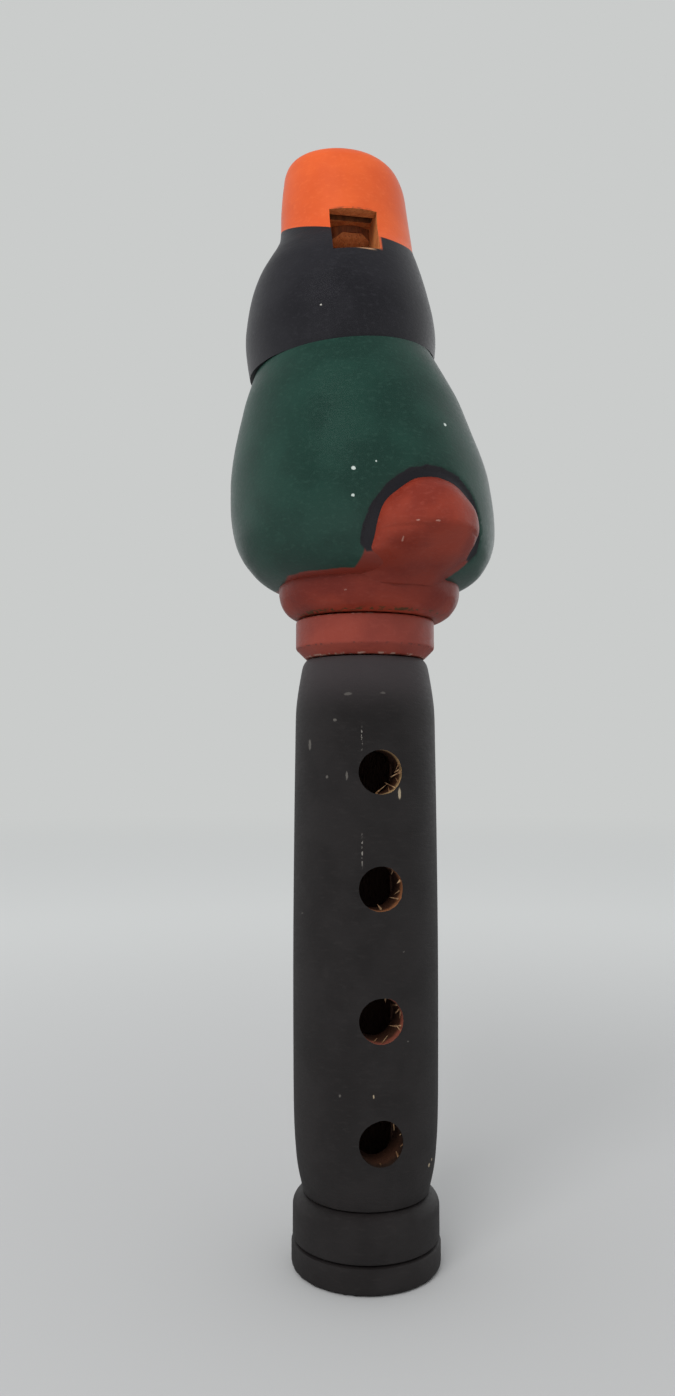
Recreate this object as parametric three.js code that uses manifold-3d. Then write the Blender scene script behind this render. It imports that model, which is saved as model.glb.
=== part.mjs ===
// A painted wooden bird whistle: a turned flute tube with four finger holes, and a carved bird whose
// beak is the mouthpiece. Millimetres. Z runs up the tube from the foot's end face, and the finger
// holes and the window face -Y. The bird's tail is beside them and its face is on the +Y side.
import * as THREE from 'three';
import { mergeVertices } from 'three/addons/utils/BufferGeometryUtils.js';
import Module from 'manifold-3d';

// Clearances and steps
const seam = 0.3;            // glue line or running gap between two pieces
const overrun = 2;           // how far a cut runs past the face it leaves through
const turns = 40;            // sides of a round piece
const steps = 20;            // rings of a carved piece

// The air column
const boreRadius = 6;        // drilled through the tube and down through the bird
const holeRadius = 3.75;     // finger holes
const holeHeights = [24.1, 44, 65.7, 85.2];

// The turned tube, its foot and the tenon at its top
const tubeRadius = 12.85;
const tubeLength = 92.4;
const spigotWall = 3.6;      // lower end of the tube, inside the foot
const endRingRadius = 13;
const endRingHeight = 4.6;
const endSocketDepth = 2.2;
const edgeRound = 0.6;       // worn lower edge of the foot
const footRingRadius = 12.8;
const footRingHeight = 7.6;
const footShoulder = 2.4;
const lowerRingRadius = 12.5;
const lowerRingHeight = 6.8;
const lowerRingChamfer = 1.8;
const tenonWall = 1.7;
const tenonLength = 14;      // above the lower ring
const corkThickness = 0.8;
const corkHeightShare = 0.57;

// The carved bird, from its joint with the lower ring upwards
const collarRadius = 16.4;
const collarHeight = 6.9;
const collarShift = 0.6;
const bodyRadius = 23.85;
const bodyHeight = 40.8;     // up to the crease at the neck
const bodySink = 1.5;        // how far the body sits down into the collar
const bodyShift = 0.8;
const bodyLean = 5.4;        // degrees that its rings drift towards -X
const breastShare = 1.13;    // the breast side is deeper than the back
const headRadius = 17.5;
const headHeight = 25;       // from the neck's crease to the beak's colour line
const headOffset = 1.15;     // beyond the body's own drift
const headDepthShift = 1.2;
const neckTilt = 6;          // degrees, down towards -X
const beakRadius = 11.9;
const beakHeight = 15.3;
const beakTiltX = -9.5;      // degrees, down towards +X
const beakTiltY = 17;        // degrees, down towards -Y
const windowWidth = 8.4;
const windowHeight = 8;
const windowDrop = 7.8;      // the window's lip below the colour line
const lipBevel = 2.4;
const windwayHeight = 1.7;
const knobWidth = 19.6;
const knobStandout = 4.75;   // how far the tail stands out past the body
const knobRise = 15.4;
const knobBearing = 17.5;    // degrees from -Y towards +X
const knobWall = 3.4;        // wood left between the tail and the socket

const rad = THREE.MathUtils.degToRad;

// Places that follow from the sizes
const spigotRadius = boreRadius + spigotWall;
const tenonRadius = boreRadius + tenonWall;
const footRingFoot = endRingHeight + seam;
const tubeFoot = footRingFoot + footRingHeight + seam;
const tubeTop = tubeFoot + tubeLength;
const lowerRingFoot = tubeTop + seam;
const jointHeight = lowerRingFoot + lowerRingHeight + seam;
const spigotFoot = footRingFoot - endSocketDepth;
const corkHeight = tenonLength * corkHeightShare;
const corkRadius = tenonRadius + seam + corkThickness;
const socketRadius = corkRadius + seam;
const bodyBase = collarHeight - bodySink;
const neckHeight = bodyBase + bodyHeight;
const beakLine = neckHeight + headHeight;
const birdHeight = beakLine + beakHeight;
const totalHeight = jointHeight + birdHeight;
const headShift = bodyShift - Math.tan(rad(bodyLean)) * bodyHeight - headOffset;
const windowFoot = beakLine - windowDrop;
const windowTop = windowFoot + windowHeight;
const knobReach = bodyRadius + knobStandout;
const knobTop = bodyBase + knobRise;

const wasm = await Module();
wasm.setup();

// A closed geometry becomes a solid that can be cut and joined
function solid(geometry) {
  const bare = geometry.clone();
  bare.deleteAttribute('normal');
  bare.deleteAttribute('uv');
  const whole = mergeVertices(bare);
  const vertProperties = new Float32Array(whole.attributes.position.array);
  const triVerts = new Uint32Array(whole.index.array);
  return new wasm.Manifold(new wasm.Mesh({ numProp: 3, vertProperties, triVerts }));
}

function mesh(name, body, material) {
  const { vertProperties, triVerts } = body.getMesh();
  const geometry = new THREE.BufferGeometry();
  geometry.setAttribute('position', new THREE.BufferAttribute(vertProperties, 3));
  geometry.setIndex(new THREE.BufferAttribute(triVerts, 1));
  geometry.computeVertexNormals();
  const made = new THREE.Mesh(geometry, material);
  made.name = name;
  return made;
}

function paint(colour, roughness) {
  return new THREE.MeshStandardMaterial({ color: colour, roughness, metalness: 0 });
}

// A turned piece: an outline of [radius, height] that closes on itself, spun round Z
function turned(outline) {
  const points = [...outline, outline[0]].map(([r, z]) => new THREE.Vector2(r, z));
  return solid(new THREE.LatheGeometry(points, turns).rotateX(rad(90)));
}

function rod(radius, bottom, top) {
  const length = top - bottom;
  const shape = new THREE.CylinderGeometry(radius, radius, length, turns).rotateX(rad(90));
  return solid(shape.translate(0, 0, bottom + length / 2));
}

function block(low, high) {
  const size = high.map((value, i) => value - low[i]);
  const middle = high.map((value, i) => (value + low[i]) / 2);
  return solid(new THREE.BoxGeometry(...size).translate(...middle));
}

// A carved piece: round rings of { x, y, z, r }, wider towards +Y by the share called deep
function carved(rings, deep = 1) {
  const places = [];
  for (const ring of rings) {
    for (let i = 0; i < turns; i += 1) {
      const angle = (2 * Math.PI * i) / turns;
      const side = Math.sin(angle) * ring.r;
      places.push(ring.x + Math.cos(angle) * ring.r, ring.y + (side > 0 ? side * deep : side), ring.z);
    }
  }
  const faces = [];
  for (let k = 0; k + 1 < rings.length; k += 1) {
    for (let i = 0; i < turns; i += 1) {
      const a = k * turns + i;
      const b = k * turns + ((i + 1) % turns);
      faces.push(a, b, a + turns, b, b + turns, a + turns);
    }
  }
  for (const [k, flip] of [[0, true], [rings.length - 1, false]]) {
    const centre = places.length / 3;
    places.push(rings[k].x, rings[k].y, rings[k].z);
    for (let i = 0; i < turns; i += 1) {
      const a = k * turns + i;
      const b = k * turns + ((i + 1) % turns);
      faces.push(...(flip ? [centre, b, a] : [centre, a, b]));
    }
  }
  const geometry = new THREE.BufferGeometry();
  geometry.setAttribute('position', new THREE.Float32BufferAttribute(places, 3));
  geometry.setIndex(faces);
  return solid(geometry);
}

// Points spread evenly along a smooth line through hand-set pairs
function smooth(pairs, count) {
  const line = new THREE.SplineCurve(pairs.map(([a, b]) => new THREE.Vector2(a, b)));
  return line.getPoints(count);
}

// Everything above a tilted plane through the head's middle at a height
function above(height, tiltX, tiltY) {
  const span = totalHeight;
  const half = new THREE.BoxGeometry(span, span, span).translate(0, 0, span / 2);
  half.rotateX(rad(tiltY)).rotateY(rad(-tiltX));
  return solid(half.translate(headShift, headDepthShift, height));
}

// A rod along the bird's own bore, which leans from the tube's axis to the beak's
function alongBore(radius, bottom, top) {
  const low = new THREE.Vector3(0, 0, tenonLength);
  const high = new THREE.Vector3(headShift, headDepthShift, birdHeight);
  const way = high.clone().sub(low).normalize();
  const start = low.clone().addScaledVector(way, (bottom - low.z) / way.z);
  const end = low.clone().addScaledVector(way, (top - low.z) / way.z);
  const shape = new THREE.CylinderGeometry(radius, radius, start.distanceTo(end), turns);
  const turn = new THREE.Quaternion().setFromUnitVectors(new THREE.Vector3(0, 1, 0), way);
  shape.applyQuaternion(turn);
  return solid(shape.translate(...start.add(end).divideScalar(2)));
}

// Flute tube, turned in one piece with its tenon and its lower spigot
function fluteTube() {
  const outlineShares = [
    [0, 0.862], [0.012, 0.88], [0.04, 0.925], [0.07, 0.953], [0.13, 0.981], [0.234, 0.993],
    [0.46, 1], [0.69, 0.99], [0.83, 0.979], [0.893, 0.972], [0.924, 0.954], [0.956, 0.92],
    [0.988, 0.876], [1, 0.825],
  ];
  const flank = smooth(outlineShares, turns / 2).map((p) => [p.y * tubeRadius, tubeFoot + p.x * tubeLength]);
  const tenonTop = jointHeight + tenonLength - seam;
  let tube = turned([
    [boreRadius, spigotFoot], [spigotRadius, spigotFoot], [spigotRadius, tubeFoot], ...flank,
    [tenonRadius, tubeTop], [tenonRadius, tenonTop], [boreRadius, tenonTop],
  ]);
  for (const height of holeHeights) {
    const drill = new THREE.CylinderGeometry(holeRadius, holeRadius, tubeRadius + overrun, turns / 2);
    tube = tube.subtract(solid(drill.translate(0, -(tubeRadius + overrun) / 2, height)));
  }
  return tube;
}

// Foot ring, with a rounded shoulder, glued on the tube's lower spigot
function footRing() {
  const inner = spigotRadius + seam;
  const shoulder = [];
  for (let i = 0; i <= 4; i += 1) {
    const angle = rad((90 * i) / 4);
    shoulder.push([
      footRingRadius - footShoulder * (1 - Math.cos(angle)),
      footRingHeight - footShoulder * (1 - Math.sin(angle)),
    ]);
  }
  return turned([[inner, 0], [footRingRadius, 0], ...shoulder, [inner, footRingHeight]]);
}

// End ring: the flat foot that the whistle stands on
function endRing() {
  const inner = spigotRadius + seam;
  return turned([
    [boreRadius, 0], [endRingRadius - edgeRound, 0], [endRingRadius, edgeRound],
    [endRingRadius, endRingHeight], [inner, endRingHeight],
    [inner, endRingHeight - endSocketDepth - seam], [boreRadius, endRingHeight - endSocketDepth - seam],
  ]);
}

// Lower red ring, chamfered towards the tube
function lowerRing() {
  const inner = tenonRadius + seam;
  return turned([
    [inner, 0], [lowerRingRadius - lowerRingChamfer, 0], [lowerRingRadius, lowerRingChamfer],
    [lowerRingRadius, lowerRingHeight], [inner, lowerRingHeight],
  ]);
}

// Cork sleeve round the tenon, which grips the bird's socket
function tenonCork() {
  const inner = tenonRadius + seam;
  return turned([[inner, 0], [corkRadius, 0], [corkRadius, corkHeight], [inner, corkHeight]]);
}

// The bird's body is an egg whose rings drift to one side. A wider copy makes room for it in its neighbours.
function bodyEgg(room) {
  const eggShares = [
    [0, 0.62], [0.02, 0.74], [0.055, 0.835], [0.1, 0.9], [0.15, 0.949], [0.22, 0.985], [0.33, 1],
    [0.45, 0.985], [0.525, 0.963], [0.6, 0.933], [0.67, 0.9], [0.74, 0.865], [0.82, 0.822],
    [0.89, 0.772], [0.96, 0.718], [1.08, 0.62],
  ];
  const rings = smooth(eggShares, steps).map((p) => ({
    x: bodyShift - Math.tan(rad(bodyLean)) * p.x * bodyHeight,
    y: 0,
    z: bodyBase + p.x * bodyHeight - (p.x === 0 ? room : 0),
    r: p.y * bodyRadius + room,
  }));
  return carved(rings, breastShare);
}

// Head and beak are one smooth outline, parted along the tilted colour line.
// Each row is a ring's height, radius and drift towards -X, as shares of the head's or the beak's.
function headOutline() {
  const headShares = [
    [-0.284, 0.88, 0], [-0.068, 0.955, 0], [0.18, 1, 0], [0.356, 0.985, 0.003], [0.532, 0.93, 0.01],
    [0.676, 0.865, 0.003], [0.78, 0.8, -0.015], [0.872, 0.738, -0.033], [0.96, 0.703, -0.049],
  ];
  const beakShares = [
    [0.111, 1.007, -0.066], [0.307, 0.988, -0.047], [0.516, 0.956, -0.035], [0.68, 0.912, -0.013],
    [0.791, 0.86, 0.02], [0.889, 0.757, 0.075], [0.954, 0.588, 0.112], [0.987, 0.382, 0.134],
    [1, 0.147, 0.147],
  ];
  const points = [
    ...headShares.map(([h, r, d]) => [d * headRadius, r * headRadius, neckHeight + h * headHeight]),
    ...beakShares.map(([h, r, d]) => [d * beakRadius, r * beakRadius, beakLine + h * beakHeight]),
  ].map((values) => new THREE.Vector3(...values));
  const line = new THREE.CatmullRomCurve3(points);
  return line.getPoints(steps + steps / 2).map((p) => (
    { x: headShift - p.x, y: headDepthShift, z: p.z, r: p.y }
  ));
}

function windowCut() {
  const half = windowWidth / 2;
  const opening = block(
    [headShift - half, headDepthShift - bodyRadius, windowFoot],
    [headShift + half, headDepthShift, windowTop],
  );
  const bevel = new THREE.BoxGeometry(windowWidth, lipBevel * 2, lipBevel * 2).rotateX(rad(45));
  return opening.add(solid(bevel.translate(headShift, headDepthShift - boreRadius, windowFoot)));
}

const bore = alongBore(boreRadius, tenonLength - overrun, birdHeight + overrun);
const socket = rod(socketRadius, -overrun, tenonLength);
const headSolid = carved(headOutline());
const window = windowCut();

// Tail knob: a thumb of wood that stands out over the collar and is let into the body and the collar
function tailThumb(room) {
  const thumbShares = [
    [0.2, 0.57, 0.98], [0.27, 0.61, 1.04], [0.34, 0.685, 1.05], [0.42, 0.79, 1.03], [0.51, 0.9, 1.01],
    [0.58, 0.965, 1], [0.65, 0.997, 0.985], [0.72, 1, 0.95], [0.79, 0.99, 0.885], [0.86, 0.967, 0.78],
    [0.92, 0.935, 0.64], [0.965, 0.895, 0.46], [1, 0.84, 0.18],
  ];
  const half = knobWidth / 2;
  const last = thumbShares.length - 1;
  const rings = thumbShares.map(([height, reach, width], i) => ({
    x: 0,
    y: -reach * knobReach + width * half,
    z: height * knobTop + (i === last ? room : 0) - (i === 0 ? room : 0),
    r: width * half + room,
  }));
  const core = rod(socketRadius + knobWall - room, -overrun, knobTop + overrun);
  return carved(rings).subtract(core).rotate([0, 0, knobBearing]);
}

// Perch collar: a rounded bead under the bird, with the body sunk in its top
function perchCollar() {
  const beadShares = [
    [0, 0.77], [0.05, 0.81], [0.15, 0.875], [0.3, 0.93], [0.5, 0.975], [0.75, 1], [0.95, 0.985], [1.1, 0.93],
  ];
  const rings = beadShares.map(([height, radius]) => ({
    x: collarShift, y: 0, z: height * collarHeight, r: radius * collarRadius,
  }));
  return carved(rings).subtract(bodyEgg(seam)).subtract(socket).subtract(tailThumb(seam));
}

function birdBody() {
  const hollow = bore.add(socket).add(tailThumb(seam));
  const room = above(neckHeight - seam / 2, neckTilt, 0);
  return bodyEgg(0).subtract(room).subtract(hollow);
}

function birdHead() {
  const rest = above(neckHeight + seam / 2, neckTilt, 0);
  const beak = above(beakLine - seam / 2, beakTiltX, beakTiltY);
  return headSolid.intersect(rest).subtract(beak).subtract(bore).subtract(window);
}

function beakMouthpiece() {
  const half = above(beakLine + seam / 2, beakTiltX, beakTiltY);
  return headSolid.intersect(half).subtract(bore).subtract(window);
}

// Fipple plug: fills the bore above the window, flat on the -Y side to leave the windway
function fipplePlug() {
  const plug = alongBore(boreRadius - seam, windowTop, birdHeight + overrun).intersect(headSolid);
  const flat = headDepthShift - boreRadius + windwayHeight;
  return plug.subtract(block([-totalHeight, -totalHeight, 0], [totalHeight, flat, totalHeight]));
}

const orange = paint(0xe5652f, 0.45);
const headBlack = paint(0x2c2b30, 0.5);
const green = paint(0x21503c, 0.5);
const red = paint(0x8a3a30, 0.5);
const tubeBlack = paint(0x2b2828, 0.65);
const rawWood = paint(0x9a6238, 0.8);
const cork = paint(0xb08a5c, 0.9);

const flute = new THREE.Group();
const endRingMesh = mesh('end_ring', endRing(), tubeBlack);
const footRingMesh = mesh('foot_ring', footRing(), tubeBlack);
footRingMesh.position.z = footRingFoot;
const lowerRingMesh = mesh('lower_ring', lowerRing(), red);
lowerRingMesh.position.z = lowerRingFoot;
flute.add(endRingMesh, footRingMesh, mesh('flute_tube', fluteTube(), tubeBlack), lowerRingMesh);

const corkMesh = mesh('tenon_cork', tenonCork(), cork);
corkMesh.position.z = jointHeight + (tenonLength - seam - corkHeight) / 2;

const bird = new THREE.Group();
bird.position.z = jointHeight;
bird.add(
  mesh('perch_collar', perchCollar(), red),
  mesh('tail_knob', tailThumb(0), red),
  mesh('bird_body', birdBody(), green),
  mesh('bird_head', birdHead(), headBlack),
  mesh('beak_mouthpiece', beakMouthpiece(), orange),
  mesh('fipple_plug', fipplePlug(), rawWood),
);

const whistle = new THREE.Group();
whistle.add(flute, corkMesh, bird);
export default whistle;
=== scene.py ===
import math

import bmesh
import bpy
from mathutils import Matrix, Vector, noise


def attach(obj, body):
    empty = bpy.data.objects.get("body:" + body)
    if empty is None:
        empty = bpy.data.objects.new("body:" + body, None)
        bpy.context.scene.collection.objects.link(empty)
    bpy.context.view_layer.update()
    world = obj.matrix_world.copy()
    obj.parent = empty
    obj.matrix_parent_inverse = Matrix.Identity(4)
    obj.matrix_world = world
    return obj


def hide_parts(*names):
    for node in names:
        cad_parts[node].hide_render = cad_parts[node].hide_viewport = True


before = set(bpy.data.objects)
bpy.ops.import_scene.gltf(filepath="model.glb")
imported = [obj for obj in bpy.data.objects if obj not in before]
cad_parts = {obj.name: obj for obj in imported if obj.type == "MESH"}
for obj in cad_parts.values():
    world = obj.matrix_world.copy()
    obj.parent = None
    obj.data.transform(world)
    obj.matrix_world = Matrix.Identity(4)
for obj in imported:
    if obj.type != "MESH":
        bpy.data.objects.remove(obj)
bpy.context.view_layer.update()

# Flute tube. A straight-grained hardwood tube, turned on a lathe with its tenon and spigot in one
# piece, bored through, brushed with matt black paint and then drilled with four finger holes, so
# the holes show raw wood with torn fibres round their rims.
MM = 0.001
BORE = 6.0
TUBE_FOOT, TUBE_LENGTH, TUBE_RADIUS = 12.8, 92.4, 12.85
TUBE_TOP = TUBE_FOOT + TUBE_LENGTH
SPIGOT_RADIUS, SPIGOT_FOOT = 9.6, 2.7
TENON_RADIUS, TENON_TOP, TENON_EDGE = 7.7, 126.3, .5
HOLE_RADIUS, HOLE_HEIGHTS = 3.75, (24.1, 44.0, 65.7, 85.2)
RIM_TONES = ("#261A13", "#884A3A", "#8F5C3A", "#AA8A60")
RIM_FLARE = [(-5, 0), (-12.1, 0), (-12.45, .06), (-12.7, .16), (-12.95, .3), (-14.5, .5)]
TORN_SPREAD, TORN_SIDE, TORN_CALM, TORN_DEPTH, TORN_SEED = 1.4, .5, .1, 1.6, 3.7
TOOTH_SPREAD, TOOTH_DEPTH = 8, .05
TUBE_FLANK = [
    (0, .862), (.012, .88), (.04, .925), (.07, .953), (.13, .981), (.234, .993), (.46, 1),
    (.69, .99), (.83, .979), (.893, .972), (.924, .954), (.956, .92), (.988, .876), (1, .825),
]


def flowing(rows, count):
    """Rows of numbers joined by a smooth line through all of them, as count + 1 rows."""
    last = len(rows) - 1
    line = []
    for i in range(count + 1):
        at = last * i / count
        k = min(int(at), last - 1)
        t = at - k
        near = [rows[max(0, min(last, k + j))] for j in (-1, 0, 1, 2)]
        line.append(tuple(
            .5 * (2 * b + (c - a) * t + (2 * a - 5 * b + 4 * c - d) * t * t
                  + (3 * b - a - 3 * c + d) * t ** 3)
            for a, b, c, d in zip(*near)))
    return line


def rounded(corner, before, after, size, count=5):
    """A worn corner between two straight runs of an outline."""
    a = Vector(corner) + (Vector(before) - Vector(corner)).normalized() * size
    b = Vector(corner) + (Vector(after) - Vector(corner)).normalized() * size
    points = []
    for i in range(count + 1):
        t = i / count
        points.append(tuple(a * (1 - t) ** 2 + Vector(corner) * 2 * t * (1 - t) + b * t * t))
    return points


def ring(x, y, z, radius, around, deep=1.0):
    """One round of points in millimetres, its +Y half deeper by a share."""
    points = []
    for i in range(around):
        angle = 2 * math.pi * i / around
        side = math.sin(angle) * radius
        points.append((x + math.cos(angle) * radius, y + (side * deep if side > 0 else side), z))
    return points


def smoothed(made, sharp=35):
    """Shades a piece smooth, but for its edges of more than sharp degrees."""
    made.data.shade_smooth()
    made.data.set_sharp_from_angle(angle=math.radians(sharp))
    return made


def skinned(name, rings, hollow=False, sharp=35):
    """A closed skin over rings of points: a ring-shaped one where hollow, else with closed ends."""
    around = len(rings[0])
    mesh = bmesh.new()
    rows = [[mesh.verts.new(Vector(p) * MM) for p in points] for points in rings]
    pairs = list(zip(rows, rows[1:])) + ([(rows[-1], rows[0])] if hollow else [])
    for low, high in pairs:
        for i in range(around):
            j = (i + 1) % around
            mesh.faces.new((low[i], low[j], high[j], high[i]))
    for row in ([] if hollow else [rows[0], rows[-1]]):
        middle = mesh.verts.new(sum((v.co for v in row), Vector()) / around)
        for i in range(around):
            mesh.faces.new((row[i], row[(i + 1) % around], middle))
    bmesh.ops.recalc_face_normals(mesh, faces=mesh.faces)
    data = bpy.data.meshes.new(name)
    mesh.to_mesh(data)
    mesh.free()
    made = bpy.data.objects.new(name, data)
    bpy.context.scene.collection.objects.link(made)
    return smoothed(made, sharp)


def turned(name, outline, around=192):
    """A lathe piece: an outline of (radius, height) pairs that closes on itself."""
    return skinned(name, [ring(0, 0, z, r, around) for r, z in outline], hollow=True)


def uneven(made, depth, size, seed, where_at=lambda at: 1.0):
    """Moves the skin in and out by hand-made unevenness: depth and size in millimetres."""
    outward = [Vector(n.vector) for n in made.data.vertex_normals]
    for point, way in zip(made.data.vertices, outward):
        at = point.co / MM
        lift = noise.noise(at / size + Vector((seed, 2 * seed, 0))) * depth * where_at(at)
        point.co += way * (lift * MM)
    return made


def dressed(made, *finishes):
    """Gives a piece its materials, the outer one first."""
    for finish in finishes:
        made.data.materials.append(finish)
    return made


def cut(made, tools, keep="DIFFERENCE", sharp=35):
    """Cuts the tools out of a piece, or keeps what it shares with them, and deletes the tools.
    The faces that a tool leaves take the piece's second material, its raw wood."""
    for tool in tools:
        dressed(tool, *made.data.materials)
        tool.data.polygons.foreach_set("material_index", [1] * len(tool.data.polygons))
        change = made.modifiers.new("cut", "BOOLEAN")
        change.operation, change.solver, change.object = keep, "EXACT", tool
    settled = bpy.data.meshes.new_from_object(
        made.evaluated_get(bpy.context.evaluated_depsgraph_get()))
    made.modifiers.clear()
    made.data = settled
    for tool in tools:
        bpy.data.objects.remove(tool)
    return smoothed(made, sharp)


def drill(height, seed, around=64):
    """The finger hole's tool, wider where the fibres broke away at the rim, mostly on one side."""
    rings = []
    for y, flare in RIM_FLARE:
        points = []
        for i in range(around):
            angle = 2 * math.pi * i / around
            way = Vector((math.cos(angle), math.sin(angle), 0))
            torn = noise.noise(way * TORN_SPREAD + Vector((0, 0, seed)))
            torn = max(0, torn + TORN_SIDE * way.x - TORN_CALM) * TORN_DEPTH
            teeth = noise.noise(way * TOOTH_SPREAD + Vector((0, 0, seed))) * TOOTH_DEPTH
            radius = HOLE_RADIUS + flare * torn + teeth * (1 + 2 * torn) * (flare > 0)
            points.append((way.x * radius, y, height + way.y * radius))
        rings.append(points)
    return skinned("drill", rings)


def linear(code):
    """An sRGB hex colour as the linear values that a shader takes."""
    parts = [int(code[i:i + 2], 16) / 255 for i in (1, 3, 5)]
    return tuple(v / 12.92 if v <= .04045 else ((v + .055) / 1.055) ** 2.4 for v in parts) + (1,)


def add(tree, kind, *values, **named):
    """One node. The values fill its sockets in order. A name in small letters is a setting of the
    node, one with a capital is a socket, with _ for a space, and _6 is the seventh socket. What a
    socket gets is a number, a colour, a place, or the socket that it comes from."""
    made = tree.nodes.new(kind)
    filled = dict(enumerate(values))
    for name, value in named.items():
        if name[0] == "_":
            filled[int(name[1:])] = value
        elif name[0].islower():
            setattr(made, name, value)
        else:
            filled[name.replace("_", " ")] = value
    for place, value in filled.items():
        socket = made.inputs[place]
        if isinstance(value, bpy.types.NodeSocket):
            tree.links.new(value, socket)
        else:
            socket.default_value = value
    return made


def where(tree, *shares):
    """How far all the shares hold together, from 0 to 1. A share is a number, a socket, or a value
    with the place where it begins to hold and the place from which it holds wholly."""
    found = None
    for share in shares:
        if isinstance(share, tuple):
            value, begins, whole = share
            share = add(tree, "ShaderNodeMapRange", interpolation_type="SMOOTHSTEP", Value=value,
                        From_Min=begins, From_Max=whole).outputs["Result"]
        found = share if found is None else add(
            tree, "ShaderNodeMath", found, share, operation="MULTIPLY").outputs[0]
    return found


def away(tree, value, middle):
    """How far a value lies from a middle, on either side."""
    off = add(tree, "ShaderNodeMath", value, middle, operation="SUBTRACT")
    return add(tree, "ShaderNodeMath", off.outputs[0], operation="ABSOLUTE").outputs[0]


def layered(tree, shade, *layers):
    """Colours laid over one another: each layer is the share that it covers and its colour."""
    for share, over in layers:
        shade = add(tree, "ShaderNodeMix", share, _6=shade, _7=over, data_type="RGBA").outputs[2]
    return shade


def grain(tree, place, size, detail=2.0, stretch=(1, 1, 1)):
    """Noise whose features are about size millimetres across, drawn out along an axis."""
    spread = add(tree, "ShaderNodeVectorMath", place, stretch, operation="MULTIPLY")
    made = add(tree, "ShaderNodeTexNoise", Vector=spread.outputs[0], Scale=1 / size, Detail=detail)
    return made.outputs["Fac"]


def material(name, roughness, **constants):
    """A bare material: its tree, its surface shader and the place on the object in millimetres."""
    made = bpy.data.materials.new(name)
    made.use_nodes = True
    tree = made.node_tree
    tree.nodes.clear()
    skin = add(tree, "ShaderNodeBsdfPrincipled", Roughness=roughness, **constants)
    add(tree, "ShaderNodeOutputMaterial", Surface=skin.outputs[0])
    metres = add(tree, "ShaderNodeTexCoord").outputs["Object"]
    place = add(tree, "ShaderNodeVectorMath", metres, Scale=1 / MM, operation="SCALE").outputs[0]
    return made, tree, skin, place


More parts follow.
